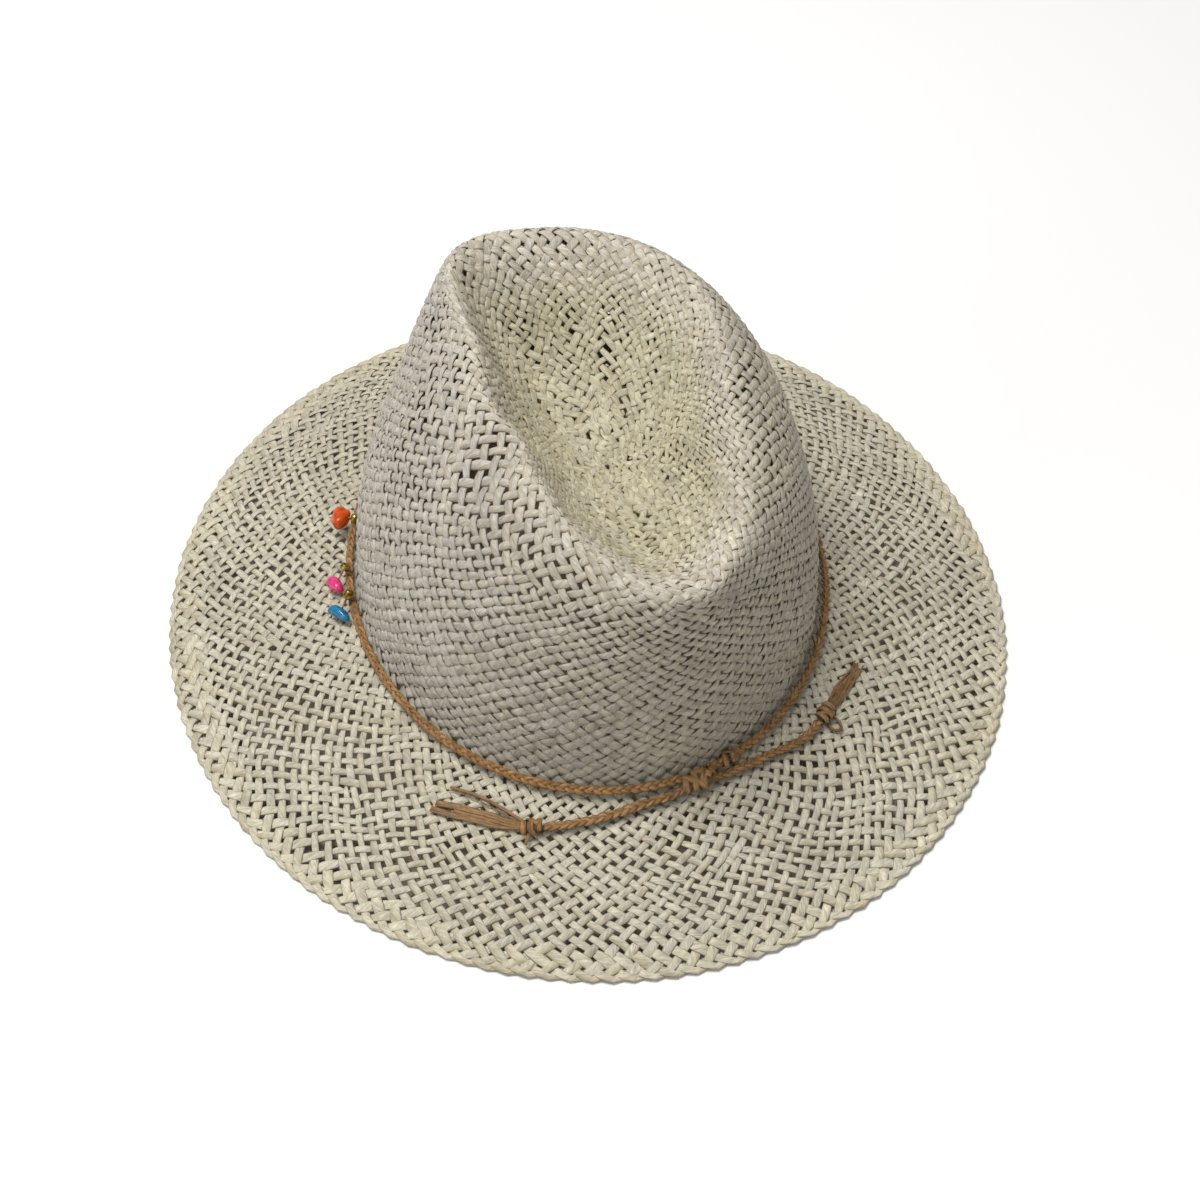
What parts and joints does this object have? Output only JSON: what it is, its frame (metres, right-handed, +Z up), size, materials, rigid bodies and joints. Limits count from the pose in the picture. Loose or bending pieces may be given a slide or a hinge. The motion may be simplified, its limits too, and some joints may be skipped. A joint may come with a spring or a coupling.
{
  "type": "straw fedora",
  "caption": "Woven straw fedora with a teardrop dent, a flat brim, a plaited raffia cord tied at the back with two frayed tails, and bead charms at the side.",
  "frame": {"origin": "middle of the plane that the brim's edge rests on", "axes": "+Z up; the front of the hat faces -Y; the wearer's left is +X"},
  "size_m": [0.317, 0.336, 0.1272],
  "materials": {
    "straw": "matt twisted paper straw, open plain weave",
    "raffia": "satin natural raffia, plaited",
    "thread": "matt twisted thread",
    "orange_bead": "polished",
    "pink_bead": "polished",
    "blue_bead": "polished",
    "brass": "aged, satin"
  },
  "bodies": {
    "root": {"straw_body": "straw", "cord_band": "raffia", "band_knot": "raffia", "tail_left": "raffia", "tail_right": "raffia", "tassel_left": "raffia", "tassel_right": "raffia", "charm_thread_front": "thread", "charm_thread_middle": "thread", "charm_thread_rear": "thread", "bead_orange": "orange_bead", "bead_pink": "pink_bead", "bead_blue": "blue_bead", "bead_brass_front": "brass", "bead_brass_middle": "brass", "bead_brass_rear": "brass"}
  },
  "joints": []
}
